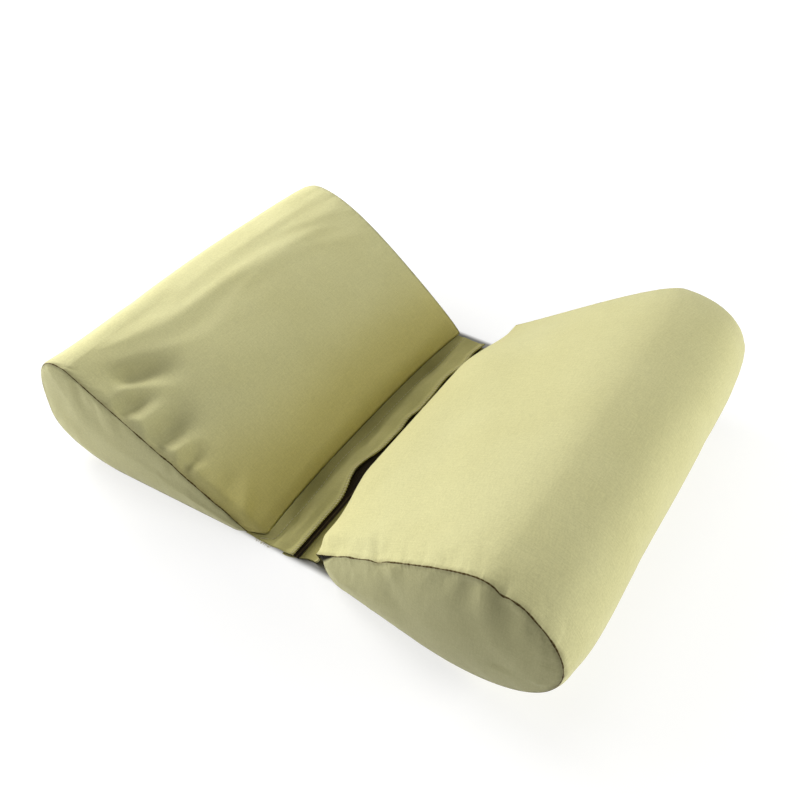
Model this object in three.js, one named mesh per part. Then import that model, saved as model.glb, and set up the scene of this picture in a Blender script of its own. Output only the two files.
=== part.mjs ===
import * as THREE from 'three';

// A pillow for posing a baby: filled cloth wedges that lie tip to tip, with their fat sides outward.
// A cloth flap runs from each tip into the trough between them, and the left one laps over a hook strip
// on the right one. Everything is in millimetres. X runs across both wedges, Y runs along them with the
// front at -Y, and Z is up. Both wedges lie on the surface at Z = 0.

// The middle of the trough, seen from the point under the middle of the whole pillow.
const TROUGH_MIDDLE = { x: 3.6, y: -2.5 };

// A wedge is measured in its own section: u from its tip outward, v upward.
// side            -1 lies to the left of the trough, 1 to the right
// tipX, turn      where its tip line crosses Y = 0, and how far the line is turned, in degrees
// front, back     the ends of the tip line
// frontFlare, backFlare   how much longer than the tip the fat side is at each end
// width, bulgeHeight      the outermost point
// height, topAt           the highest point
// baseFrom, baseTo        the flat face that it rests on
// slopeAngle, slopeStart, slopeEnd   how the slope leaves the tip and reaches the top
// shoulderOut, shoulderDown          how full the corner between top and outer side is
// swell, swellSharpness   how much the filling fattens the middle, and how soon after the end seams
// tipDraw         how far the filling draws the middle of the tip line back
// frontTuck       how far the front end of the tip line is tucked in
// ridgeRound      how much rounder the ridge is away from the front seam
// crown           how far the end panels stand out
// puff            where the filling bulges the slope: how far, at which share of the slope, how narrowly,
//                 in which direction in degrees, over which shares of the length it comes and goes at the
//                 front and back ends, and the share that is left of it at the back seam
// ear             how far the front corner of the ridge stands up, where, and over which width
const WEDGES = {
  left_wedge: {
    side: -1, tipX: -22, turn: -1.7, front: -136.4, back: 133.8, frontFlare: 12.5, backFlare: 20.7,
    width: 192.7, bulgeHeight: 35.6, height: 91.3, topAt: 159.5, baseFrom: 14, baseTo: 129.6,
    tipHeight: 4.9, slopeAngle: 29.4, slopeStart: 0.43, slopeEnd: 0.055, ridgeRound: 0.16,
    shoulderOut: 0.8, shoulderDown: 0.55, swell: 0.02, swellSharpness: 2,
    tipDraw: 6.2, frontTuck: 14, crown: 5.8,
    puff: { reach: 6.6, at: 0.22, sharpness: 1.5, direction: 120, comes: 0.3, goes: 0.1, atBack: 0.82 },
    ear: { rise: 6.2, at: 182, width: 25 },
  },
  right_wedge: {
    side: 1, tipX: 23, turn: -1.3, front: -135.8, back: 152.5, frontFlare: 15.8, backFlare: 9.9,
    width: 181.8, bulgeHeight: 67.2, height: 108.3, topAt: 128.9, baseFrom: 19, baseTo: 81.9,
    tipHeight: 20.9, slopeAngle: 34.8, slopeStart: 0.333, slopeEnd: 0.144, ridgeRound: 0,
    shoulderOut: 0.681, shoulderDown: 0.469, swell: 0.045, swellSharpness: 6.3,
    tipDraw: 0, frontTuck: 0, crown: 7.5,
    puff: { reach: 19.9, at: 0.131, sharpness: 2, direction: 171, comes: 0.22, goes: 0.3, atBack: 0 },
    ear: { rise: 0, at: 182, width: 25 },
  },
};

// Puckers that run from the front seam into the slope. u is where each one starts, reach how far it runs
// back from the seam, lean how far it drifts across on the way, width its half width, and rise its height,
// below zero for a trough.
const PUCKERS = {
  left_wedge: [
    { u: 143, reach: 78, lean: -22, width: 9, rise: -3.2 },
    { u: 132, reach: 62, lean: -20, width: 7, rise: 2.2 },
    { u: 119, reach: 42, lean: -9, width: 7, rise: -3.4 },
    { u: 109, reach: 38, lean: -8, width: 6, rise: 1.8 },
    { u: 92, reach: 52, lean: 0, width: 9, rise: -3.4 },
    { u: 81, reach: 42, lean: -9, width: 7, rise: 2.0 },
    { u: 70, reach: 28, lean: 0, width: 7, rise: -2.4 },
    { u: 14, reach: 34, lean: 12, width: 6, rise: 1.8 },
  ],
  right_wedge: [
    { u: 44, reach: 30, lean: 4, width: 7, rise: 1.6 },
    { u: 56, reach: 24, lean: 2, width: 6, rise: -1.4 },
  ],
};

// The seams where the wrap meets the end panels lie in a shallow groove.
const SEAM_ROLL = { height: 1.6, width: 4 };
const WRAP_ENDS_FREE = { aboveTip: 14, aboveBase: 10 };
const PANEL = { middleU: 0.62, middleV: 0.45, bulgeWidth: 16 };
const SWELL_ACROSS = 0.6;
const TUCK_LENGTH = 0.023;
const EAR = { length: 0.07, from: 20, to: 60 };

// Cloth is doubled in the flaps.
const GAP = 0.3;
const FLAP_THICKNESS = 1.6;
const HOOK_THICKNESS = 1.4;

// The flaps' free edges and the strip between them, as X at the front, with the drift to the back end.
const FLAP_ENDS = { front: -136.5, back: 131 };
const LEFT_FLAP_EDGE = { x: -0.4, drift: 3.5, backReach: 6, reachFrom: 62, reachTo: 110 };
const RIGHT_FLAP_EDGE = { x: -10, drift: 3.6 };
const HOOK_STRIP = { x: -8.6, drift: 3.6, width: 11.7, inset: 1.5 };

// Heights of the left flap's middle layer. It falls from the wedge's tip to a valley, climbs over the
// given run until a little before the hook strip, and rises again to its free edge. At the front the
// tip end droops.
const LEFT_FLAP = {
  atTip: 4.7, valley: 1.4, fallShare: 0.26, onStrip: 4.5, climbRun: 7, upBefore: 2.2, edgeRise: 1.7,
  droop: 2.4, droopLength: 9,
};

// Ripples in the left flap: how high each one stands at the free edge, how far it moves that edge in
// over the flap, and its half width along Y.
const RIPPLES = [
  { y: -58, rise: 3.2, inward: 0, width: 14 },
  { y: -36, rise: 1.2, inward: 9, width: 15 },
  { y: -8, rise: 3.0, inward: 0, width: 12 },
  { y: 16, rise: 2.6, inward: 1, width: 11 },
  { y: 78, rise: 3.4, inward: 0, width: 18 },
  { y: 112, rise: 0.8, inward: 3, width: 14 },
];

// The right flap hangs steeply from just under its wedge's tip, and lies flat from this far out.
const RIGHT_FLAP_LANDS_AT = { fromTip: 15.5, steepness: 1.7 };
const RIGHT_FLAP_SEAT = { out: 0.6, below: 0.5 };

const STEPS = {
  slope: 30, shoulder: 10, side: 8, base: 1, underTip: 3,
  wedgeLength: 40, panelRings: 4,
  flapWidth: 10, flapLength: 60, stripWidth: 3, stripLength: 8,
};

const CLOTH = new THREE.MeshStandardMaterial({ color: 0xc3bd86, roughness: 0.9, metalness: 0 });
const FLAP_CLOTH = new THREE.MeshStandardMaterial({ color: 0xa9a56e, roughness: 0.9, metalness: 0 });
const HOOK_TAPE = new THREE.MeshStandardMaterial({ color: 0x2e241a, roughness: 0.95, metalness: 0 });

const radians = THREE.MathUtils.degToRad;
const smooth = (value, from, to) => THREE.MathUtils.smoothstep(value, from, to);

// 1 in the middle of a length, 0 at both ends; k runs from 0 to 1.
function middleWeight(k, sharpness) {
  return 1 - Math.abs(2 * k - 1) ** sharpness;
}

// 1 at the middle of a ripple or pucker, and 0 two half widths away.
function hump(distance, halfWidth) {
  const share = Math.min(Math.abs(distance) / (2 * halfWidth), 1);
  return Math.cos(share * Math.PI / 2) ** 3;
}

function bezier(start, firstHandle, secondHandle, end, steps) {
  const curve = new THREE.CubicBezierCurve(start, firstHandle, secondHandle, end);
  return curve.getPoints(steps).slice(0, steps);
}

// How much of a wedge's puff there is at the share k of the length.
function puffWeight(puff, k) {
  return smooth(k, 0, puff.comes) * THREE.MathUtils.lerp(puff.atBack, 1, smooth(1 - k, 0, puff.goes));
}

// The wedge's outline at one station, tip first, over the slope and down the outer side.
function wedgeSection(wedge, k) {
  const growth = wedge.swell * middleWeight(k, wedge.swellSharpness);
  const wide = 1 + growth * SWELL_ACROSS;
  const high = 1 + growth;
  const point = (u, v) => new THREE.Vector2(u * wide, v * high);
  const angle = radians(wedge.slopeAngle);
  const draw = wedge.tipDraw * middleWeight(k, 3) + wedge.frontTuck * Math.exp(-((k / TUCK_LENGTH) ** 2));
  const toTop = wedge.topAt;
  const toSide = wedge.width - wedge.topAt;
  const drop = wedge.height - wedge.bulgeHeight;

  const tip = point(draw, wedge.tipHeight);
  const top = point(wedge.topAt, wedge.height);
  const outer = point(wedge.width, wedge.bulgeHeight);
  const baseOuter = point(wedge.baseTo, 0);
  const baseInner = point(draw + wedge.baseFrom, 0);

  const slope = bezier(
    tip,
    point(draw + wedge.slopeStart * toTop * Math.cos(angle),
      wedge.tipHeight + wedge.slopeStart * toTop * Math.sin(angle)),
    point(wedge.topAt - (wedge.slopeEnd + wedge.ridgeRound * smooth(k, 0, 0.3)) * toTop, wedge.height),
    top, STEPS.slope);
  const { puff, ear } = wedge;
  slope.forEach((spot, i) => {
    const share = (i / STEPS.slope) ** (Math.log(0.5) / Math.log(puff.at));
    const reach = puff.reach * puffWeight(puff, k) * Math.sin(Math.PI * share) ** puff.sharpness;
    spot.x += reach * Math.cos(radians(puff.direction));
    spot.y += reach * Math.sin(radians(puff.direction));
  });
  const shoulder = bezier(
    top,
    point(wedge.topAt + wedge.shoulderOut * toSide, wedge.height),
    point(wedge.width, wedge.bulgeHeight + wedge.shoulderDown * drop),
    outer, STEPS.shoulder);
  const side = bezier(
    outer,
    point(wedge.width, 0.45 * wedge.bulgeHeight),
    point(wedge.baseTo + 0.55 * (wedge.width - wedge.baseTo), 0),
    baseOuter, STEPS.side);
  const base = bezier(baseOuter, baseOuter, baseInner, baseInner, STEPS.base);
  const underTip = bezier(
    baseInner,
    point(draw + 0.5 * wedge.baseFrom, 0),
    point(draw + 0.3 * wedge.baseFrom, wedge.tipHeight),
    tip, STEPS.underTip);
  const section = [...slope, ...shoulder, ...side, ...base, ...underTip];
  section.forEach((spot) => {
    const near = Math.exp(-(((spot.x - ear.at) / ear.width) ** 2)) * Math.exp(-k / EAR.length);
    spot.y += ear.rise * near * smooth(spot.y, EAR.from, EAR.to);
  });
  return section;
}

function outwardNormals(section) {
  return section.map((spot, i) => {
    const before = section.at(i - 1);
    const after = section[(i + 1) % section.length];
    return new THREE.Vector2(before.y - after.y, after.x - before.x).normalize();
  });
}

function puckerRise(puckers, u, fromSeam) {
  return puckers.reduce((sum, pucker) => {
    const share = fromSeam / pucker.reach;
    if (share >= 1) {
      return sum;
    }
    const middle = pucker.u + pucker.lean * share;
    const fade = smooth(share, 0, 0.18) * (1 - smooth(share, 0.35, 1));
    return sum + pucker.rise * fade * hump(u - middle, pucker.width * (0.7 + 0.6 * share));
  }, 0);
}

// From the wedge's section and the distance along it to the pillow's frame.
function placeWedgePoint(wedge, u, v, y) {
  const angle = radians(wedge.turn);
  const x = wedge.side * u;
  return new THREE.Vector3(
    wedge.tipX + x * Math.cos(angle) - y * Math.sin(angle),
    x * Math.sin(angle) + y * Math.cos(angle),
    v);
}

function wedgeEnds(wedge, u) {
  const share = THREE.MathUtils.clamp(u / wedge.width, 0, 1);
  return {
    front: wedge.front - wedge.frontFlare * share,
    back: wedge.back + wedge.backFlare * share,
  };
}

// One loop of the wrap, at the share k of the length.
function wrapLoop(wedge, puckers, k) {
  const section = wedgeSection(wedge, k);
  const normals = outwardNormals(section);
  return section.map((spot, i) => {
    const ends = wedgeEnds(wedge, spot.x);
    const y = THREE.MathUtils.lerp(ends.front, ends.back, k);
    const fromSeam = Math.min(y - ends.front, ends.back - y);
    const free = (i < STEPS.slope + STEPS.shoulder + STEPS.side && i > 0)
      ? smooth(spot.x, -WRAP_ENDS_FREE.aboveTip, WRAP_ENDS_FREE.aboveTip)
        * smooth(spot.y, 0, WRAP_ENDS_FREE.aboveBase) * smooth(i, 0, 2)
      : 0;
    let rise = SEAM_ROLL.height * free * (1 - Math.exp(-fromSeam / SEAM_ROLL.width));
    if (i > 0 && i < STEPS.slope) {
      rise += puckerRise(puckers, spot.x, y - ends.front);
    }
    return placeWedgePoint(wedge, spot.x + normals[i].x * rise, spot.y + normals[i].y * rise, y);
  });
}

function distanceToOutline(place, section) {
  const nearest = new THREE.Vector3();
  const spot = new THREE.Vector3(place.x, place.y, 0);
  return Math.min(...section.map((from, i) => {
    const to = section[(i + 1) % section.length];
    const edge = new THREE.Line3(new THREE.Vector3(from.x, from.y, 0), new THREE.Vector3(to.x, to.y, 0));
    return edge.closestPointToPoint(spot, true, nearest).distanceTo(spot);
  }));
}

// A ring of an end panel: share 1 is the seam, 0 the middle of the panel. It bulges out from its seam.
function panelRing(wedge, share, end) {
  const section = wedgeSection(wedge, end < 0 ? 0 : 1);
  const middle = new THREE.Vector2(PANEL.middleU * wedge.width, PANEL.middleV * wedge.height);
  return section.map((spot) => {
    const place = middle.clone().lerp(spot, share);
    const out = wedge.crown * (1 - Math.exp(-distanceToOutline(place, section) / PANEL.bulgeWidth));
    const ends = wedgeEnds(wedge, place.x);
    const y = end < 0 ? ends.front - out : ends.back + out;
    return placeWedgePoint(wedge, place.x, place.y, y);
  });
}

// A closed surface through loops of equally many points, closed by a last point at each end.
function solidFromLoops(loops, firstPole, lastPole, flip) {
  const count = loops[0].length;
  const points = [...loops.flat(), firstPole, lastPole];
  const first = points.length - 2;
  const last = points.length - 1;
  const index = [];
  const triangle = (a, b, c) => index.push(...(flip ? [a, c, b] : [a, b, c]));
  for (let row = 0; row < loops.length - 1; row += 1) {
    for (let i = 0; i < count; i += 1) {
      const next = (i + 1) % count;
      const a = row * count + i;
      const b = row * count + next;
      triangle(a, b, b + count);
      triangle(a, b + count, a + count);
    }
  }
  const lastRow = (loops.length - 1) * count;
  for (let i = 0; i < count; i += 1) {
    const next = (i + 1) % count;
    triangle(first, next, i);
    triangle(last, lastRow + i, lastRow + next);
  }
  return geometryFrom(points, index);
}

function geometryFrom(points, index) {
  const geometry = new THREE.BufferGeometry();
  const numbers = points.flatMap((point) => point.toArray());
  geometry.setAttribute('position', new THREE.Float32BufferAttribute(numbers, 3));
  geometry.setIndex(index);
  geometry.computeVertexNormals();
  return geometry;
}

function wedgeGeometry(wedge, puckers) {
  const loops = [];
  for (let ring = 1; ring <= STEPS.panelRings; ring += 1) {
    loops.push(panelRing(wedge, (ring / STEPS.panelRings) ** 0.7, -1));
  }
  loops.pop();
  for (let row = 0; row <= STEPS.wedgeLength; row += 1) {
    loops.push(wrapLoop(wedge, puckers, 0.5 - 0.5 * Math.cos(Math.PI * row / STEPS.wedgeLength)));
  }
  for (let ring = STEPS.panelRings - 1; ring >= 1; ring -= 1) {
    loops.push(panelRing(wedge, (ring / STEPS.panelRings) ** 0.7, 1));
  }
  const [firstPole] = panelRing(wedge, 0, -1);
  const [lastPole] = panelRing(wedge, 0, 1);
  return solidFromLoops(loops, firstPole, lastPole, wedge.side < 0);
}

// The tip line of a wedge, as X and height at Y.
function tipAt(wedge, y) {
  const k = THREE.MathUtils.clamp((y - wedge.front) / (wedge.back - wedge.front), 0, 1);
  const tip = wedgeSection(wedge, k)[0];
  const place = placeWedgePoint(wedge, tip.x, tip.y, y);
  return { x: place.x, z: place.z };
}

function driftedX(line, y) {
  return line.x + line.drift * (y - FLAP_ENDS.front) / (FLAP_ENDS.back - FLAP_ENDS.front);
}

// The middle line of the left flap at Y, from the wedge's tip to the free edge.
function leftFlapLine(y) {
  const tip = tipAt(WEDGES.left_wedge, y);
  let edge = driftedX(LEFT_FLAP_EDGE, y)
    + LEFT_FLAP_EDGE.backReach * smooth(y, LEFT_FLAP_EDGE.reachFrom, LEFT_FLAP_EDGE.reachTo);
  let lift = 0;
  RIPPLES.forEach((ripple) => {
    const weight = hump(y - ripple.y, ripple.width);
    edge -= ripple.inward * weight;
    lift += ripple.rise * weight;
  });
  const { valley, fallShare, onStrip, climbRun, upBefore, edgeRise, droop, droopLength } = LEFT_FLAP;
  const atTip = LEFT_FLAP.atTip - droop * Math.exp(-(((y - FLAP_ENDS.front) / droopLength) ** 2));
  const up = driftedX(HOOK_STRIP, y) - upBefore;
  return Array.from({ length: STEPS.flapWidth + 1 }, (_, i) => {
    const share = i / STEPS.flapWidth;
    const x = THREE.MathUtils.lerp(tip.x + GAP, edge, share);
    const height = valley
      + (atTip - valley) * (1 - smooth(share, 0, fallShare))
      + (onStrip - valley) * smooth(x, up - climbRun, up)
      + edgeRise * smooth(share, 0.8, 1) + lift * smooth(share, 0.3, 1);
    return new THREE.Vector2(x, height);
  });
}

// The middle line of the right flap at Y, from its free edge up to the wedge's tip.
function rightFlapLine(y) {
  const tip = tipAt(WEDGES.right_wedge, y);
  const rest = FLAP_THICKNESS / 2;
  const landing = tip.x - RIGHT_FLAP_LANDS_AT.fromTip;
  const edge = driftedX(RIGHT_FLAP_EDGE, y);
  const seat = tip.x - RIGHT_FLAP_SEAT.out;
  const rise = tip.z - RIGHT_FLAP_SEAT.below - rest;
  return Array.from({ length: STEPS.flapWidth + 1 }, (_, i) => {
    const x = THREE.MathUtils.lerp(edge, seat, (i / STEPS.flapWidth) ** 0.8);
    const climb = THREE.MathUtils.clamp((x - landing) / (seat - landing), 0, 1);
    return new THREE.Vector2(x, rest + rise * climb ** RIGHT_FLAP_LANDS_AT.steepness);
  });
}

function hookStripLine(y) {
  const height = FLAP_THICKNESS + GAP + HOOK_THICKNESS / 2;
  return Array.from({ length: STEPS.stripWidth + 1 }, (_, i) => (
    new THREE.Vector2(driftedX(HOOK_STRIP, y) + HOOK_STRIP.width * i / STEPS.stripWidth, height)));
}

// A sheet of even thickness about a middle line that changes along Y. Its rows are closer at both ends.
function sheetGeometry(lineAt, thickness, front, back, rows) {
  const points = [];
  let across = 0;
  for (let row = 0; row <= rows; row += 1) {
    const share = 0.5 * row / rows + 0.25 * (1 - Math.cos(Math.PI * row / rows));
    const y = THREE.MathUtils.lerp(front, back, share);
    const line = lineAt(y);
    across = line.length;
    const normals = line.map((spot, i) => {
      const before = line[Math.max(i - 1, 0)];
      const after = line[Math.min(i + 1, across - 1)];
      return new THREE.Vector2(before.y - after.y, after.x - before.x).normalize();
    });
    [1, -1].forEach((face) => {
      line.forEach((spot, i) => {
        const offset = face * thickness / 2;
        points.push(new THREE.Vector3(spot.x + normals[i].x * offset, y, spot.y + normals[i].y * offset));
      });
    });
  }
  const index = [];
  const quad = (a, b, c, d) => index.push(a, b, c, a, c, d);
  const at = (row, face, i) => (row * 2 + face) * across + i;
  for (let row = 0; row < rows; row += 1) {
    for (let i = 0; i < across - 1; i += 1) {
      quad(at(row, 0, i), at(row, 0, i + 1), at(row + 1, 0, i + 1), at(row + 1, 0, i));
      quad(at(row, 1, i), at(row + 1, 1, i), at(row + 1, 1, i + 1), at(row, 1, i + 1));
    }
    const end = across - 1;
    quad(at(row, 0, 0), at(row + 1, 0, 0), at(row + 1, 1, 0), at(row, 1, 0));
    quad(at(row, 0, end), at(row, 1, end), at(row + 1, 1, end), at(row + 1, 0, end));
  }
  for (let i = 0; i < across - 1; i += 1) {
    quad(at(0, 0, i), at(0, 1, i), at(0, 1, i + 1), at(0, 0, i + 1));
    quad(at(rows, 0, i), at(rows, 0, i + 1), at(rows, 1, i + 1), at(rows, 1, i));
  }
  return geometryFrom(points, index);
}

function addPiece(name, geometry, material) {
  const piece = new THREE.Mesh(geometry, material);
  piece.name = name;
  pillow.add(piece);
}

const pillow = new THREE.Group();
pillow.position.set(TROUGH_MIDDLE.x, TROUGH_MIDDLE.y, 0);

Object.entries(WEDGES).forEach(([name, wedge]) => {
  addPiece(name, wedgeGeometry(wedge, PUCKERS[name]), CLOTH);
});
const { front, back } = FLAP_ENDS;
addPiece('left_flap',
  sheetGeometry(leftFlapLine, FLAP_THICKNESS, front, back, STEPS.flapLength), FLAP_CLOTH);
addPiece('right_flap',
  sheetGeometry(rightFlapLine, FLAP_THICKNESS, front, back, STEPS.flapLength), FLAP_CLOTH);
addPiece('hook_strip',
  sheetGeometry(hookStripLine, HOOK_THICKNESS, front + HOOK_STRIP.inset, back - HOOK_STRIP.inset,
    STEPS.stripLength), HOOK_TAPE);

export default pillow;
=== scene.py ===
"""A baby posing pillow: sage cloth wedges lying tip to tip, joined by flaps with a hook strip.

The sizes below are in millimetres, in the trough's own frame: X across both wedges, Y along them with the
front at -Y, Z up. Meshes are made in metres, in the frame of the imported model.
"""
import math
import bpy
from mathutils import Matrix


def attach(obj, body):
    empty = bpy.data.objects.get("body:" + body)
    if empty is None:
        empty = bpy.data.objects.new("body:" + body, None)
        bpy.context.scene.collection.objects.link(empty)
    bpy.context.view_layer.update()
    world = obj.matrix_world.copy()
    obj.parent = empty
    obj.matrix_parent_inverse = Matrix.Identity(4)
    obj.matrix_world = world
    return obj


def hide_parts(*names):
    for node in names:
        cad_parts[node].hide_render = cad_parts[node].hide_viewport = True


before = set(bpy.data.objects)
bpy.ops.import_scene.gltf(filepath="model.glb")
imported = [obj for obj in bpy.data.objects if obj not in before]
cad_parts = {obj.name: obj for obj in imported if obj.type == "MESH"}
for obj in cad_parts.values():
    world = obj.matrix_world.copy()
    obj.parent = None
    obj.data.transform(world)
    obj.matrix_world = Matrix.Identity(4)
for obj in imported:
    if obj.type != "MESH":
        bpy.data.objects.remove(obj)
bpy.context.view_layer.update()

from types import SimpleNamespace as Facts

import bpy
import numpy as np
from mathutils import Matrix, Vector
from numpy.linalg import norm

MM = 0.001
TROUGH_MIDDLE = np.array((3.6, -2.5, 0.0))

# Camera, in the trough's frame. The photo is 800 pixels wide.
CAMERA_AT = np.array((244.1, -390.4, 491.7))
CAMERA_AZIMUTH = 31.8
CAMERA_ELEVATION = 44.3
FOCAL_PIXELS = 850.0
PHOTO_PIXELS = 800.0
SENSOR = 36.0

# Soft boxes: their place and size in metres, and how bright they make a white surface that faces them.
LIGHTS = {
    "key": dict(at=(-0.85, 0.1, 0.56), size=0.5, brightness=0.96, colour=(1.0, 0.99, 0.97)),
    "left_front": dict(at=(-1.0, -0.35, 0.3), size=0.5, brightness=0.48, colour=(1.0, 1.0, 0.98)),
    "right": dict(at=(1.15, 0.18, 0.5), size=0.6, brightness=0.6, colour=(1.0, 1.0, 0.96)),
    "above": dict(at=(-0.1, 0.2, 1.4), size=0.8, brightness=0.2, colour=(1.0, 1.0, 0.97)),
}
WORLD_STRENGTH = 0.04
# The white floor glows like a lit table, more so away from the pillow, but not beneath the trough.
FLOOR = Facts(half_side=3.0, colour=0.3, glow=0.74, far_glow=0.95, near=0.2, far=0.5,
              dark_x=0.046, dark_y=0.135, edge=0.006)

# The wedges, in their own section: u from the tip outward, v upward, angles in degrees. k is the share of
# the way from the front seam to the back one.
WEDGES = {
    "left_wedge": Facts(
        side=-1, tip_x=-22.0, turn=-1.7, front=-136.4, back=133.8, front_flare=12.5, back_flare=20.7,
        width=192.7, bulge_height=35.6, height=91.3, top_at=159.5, base_from=14.0, base_to=129.6,
        tip_height=4.9, slope_angle=29.4, slope_start=0.43, slope_end=0.055, ridge_round=0.25,
        shoulder_out=0.8, shoulder_down=0.55, swell=0.02, swell_sharpness=2.0, tip_draw=6.2,
        front_tuck=14.0, crown=5.8,
        puff=Facts(reach=6.6, at=0.22, sharpness=1.5, direction=120.0, early=0.0, early_by=0.05,
                   comes_from=0.0, comes=0.3, goes=0.1, at_back=0.82),
        ear=Facts(rise=6.2, at=182.0, width=25.0),
    ),
    "right_wedge": Facts(
        side=1, tip_x=23.0, turn=-1.3, front=-135.8, back=152.5, front_flare=15.8, back_flare=9.9,
        width=181.8, bulge_height=67.2, height=108.3, top_at=128.9, base_from=19.0, base_to=81.9,
        tip_height=20.9, slope_angle=34.8, slope_start=0.333, slope_end=0.144, ridge_round=0.0,
        shoulder_out=0.681, shoulder_down=0.469, swell=0.052, swell_sharpness=6.3, tip_draw=0.0,
        front_tuck=0.0, crown=7.5,
        puff=Facts(reach=18.5, at=0.131, sharpness=2.0, direction=171.0, early=0.45, early_by=0.05,
                   comes_from=0.08, comes=0.27, goes=0.3, at_back=0.0),
        ear=Facts(rise=0.0, at=182.0, width=25.0),
    ),
}
# Where the handles of the section's lower curves lie, as shares of the stretch they are on.
HANDLES = Facts(side=0.45, base=0.55, under_tip=0.5, tip=0.3)
SWELL_ACROSS = 0.6
DRAW_SHARPNESS = 3
RIDGE_ROUND_BY = 0.3
TUCK_LENGTH = 0.013
EAR = Facts(length=0.07, start=20.0, stop=60.0)
SEAM_ROLL = Facts(height=1.6, width=4.0)
WRAP_FREE = Facts(above_tip=14.0, above_base=10.0, steps=3)
PANEL_BULGE_WIDTH = 16.0

# Puckers in the slope. Each row has the u and the distance from the front seam where one starts, the same
# where it ends, its half width, and its height, below zero for a trough.
PUCKERS = {
    "left_wedge": [
        (135, 20, 107, 66, 8.5, -6.4), (126, 12, 107, 50, 6.0, 2.2),
        (118, 0, 113, 36, 7.0, -5.4), (104, 0, 101, 36, 6.0, 2.2),
        (90, 0, 84, 48, 9.0, -6.4), (77, 0, 74, 32, 5.0, 2.0),
        (67, 0, 64, 28, 5.5, -3.6), (59, 1, 58, 18, 4.0, 0.9),
        (18, 1, 39, 36, 5.0, 1.9), (30, 1, 48, 32, 6.0, -1.2),
    ],
    "right_wedge": [
        (53, 0, 39, 22, 3.2, -1.5), (104, 0, 102, 14, 6.0, -1.3),
        (152, 0, 150, 18, 8.0, -1.0), (175, 0, 174, 22, 7.0, -0.8),
    ],
}
# Over which shares of its length a pucker comes and goes, and how far from the seam it is whole.
PUCKER_FADE = Facts(comes=(-0.12, 0.2), goes=(0.35, 1.05), from_seam=4)
# The puckers' painted shade, on their darker side: how far aside it lies, how dark it gets, and the depth
# that takes.
CREASE_SHADE = Facts(aside=5.0, share=0.75, full_depth=5.0)

# Gathers that run from the upper seam down into the front panels: start u, run, half width and height.
GATHERS = {
    "left_wedge": [(149, 30, 5.5, -1.2), (139, 34, 6.0, -0.8), (118, 18, 5.0, -0.5), (75, 14, 4.0, -0.4)],
    "right_wedge": [
        (67, 16, 5.0, 0.6), (90, 16, 5.0, 0.4), (104, 20, 5.5, -0.5), (120, 30, 6.5, -1.4),
        (131, 30, 5.5, 0.5), (146, 42, 8.0, -1.4), (168, 18, 6.0, 0.8),
    ],
}

# Small kinks in the front seams: u, rise and half width. They fade with k.
SEAM_KINKS = {
    "left_wedge": [(76, 1.2, 5.0), (33, 1.2, 6.0)],
    "right_wedge": [(54, -2.0, 4.5), (28, 1.2, 6.0), (139, -2.6, 3.5), (153, 1.2, 5.0)],
}
KINK_LENGTH = 0.02
# Where the front panel hangs back behind the seam, with painted shade in that gap: how deep, how far below
# the seam at the tip, and over which stretch of u that dwindles.
SEAM_GAPS = {
    "left_wedge": Facts(depth=1.0, below=1.5, start=0.0, stop=40.0),
    "right_wedge": Facts(depth=1.2, below=8.5, start=2.0, stop=17.0),
}
# Fine pleats beside the seams: their reach and start, and their height and length on wrap and panels.
PLEATS = Facts(reach=9.0, start=1.5, wrap=0.4, wrap_length=2.3, panel=0.35, panel_length=3.4)
# Soft unevenness away from the seams.
UNEVEN = Facts(wrap=0.8, wrap_from_seam=30, panel=0.6, panel_from_seam=(4, 25))

# Steps round a section of the filling's coarse mesh. The fine mesh has twice as many.
STEPS = Facts(slope=56, shoulder=18, side=30, base=36, under_tip=8)
HALF = STEPS.slope + STEPS.shoulder
FLAT_FROM = HALF + STEPS.side
FINER = 2
SLOPE = slice(1, STEPS.slope * FINER)
WRAP_ROWS = 150
PANEL_ROWS = 40
SIM_WRAP_ROWS = 60
SIM_PANEL_ROWS = 14
END_SPACING = 0.15

# The cloth simulation that fills the wedges. Only its folds are used, because the sections already have
# its broad swelling, and only a share of them, because stuffed cloth is held from inside. cap is the most
# that a point may move.
SIM = Facts(frames=20, share=0.3, cap=2.0, broad=6)
SIM_CLOTH = dict(
    quality=6, mass=0.15, tension_stiffness=18, compression_stiffness=18, shear_stiffness=6, air_damping=4,
    bending_stiffness=0.4, use_pressure=True, uniform_pressure_force=4.0, shrink_min=-0.004)

# The flaps and the strip between them.
GAP = 0.3
FLAPS_FRONT = -136.5
FLAPS_BACK = 131.0
FLAP_THICKNESS = 1.6
HOOK_THICKNESS = 1.4
LEFT_FLAP_EDGE = Facts(x=0.0, drift=3.0, back_reach=6.0, reach_from=62.0, reach_to=110.0)
RIGHT_FLAP_EDGE = Facts(x=-10.0, drift=3.6)
HOOK_STRIP = Facts(x=-8.6, drift=3.6, width=11.7, inset=1.5)
# The left flap falls from the tip into a valley and climbs on to the strip, unevenly.
LEFT_FLAP = Facts(
    at_tip=4.7, valley=1.3, fall_share=0.42, fall_varies=0.16, fall_length=24.0, on_strip=4.5,
    climb_run=9.5, climb_varies=3.5, climb_length=19.0, up_before=1.2, edge_rise=1.7, droop=1.8,
    droop_length=9.0, tucked=2.2, lumps=1.5, lump_length=13.0)
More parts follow.
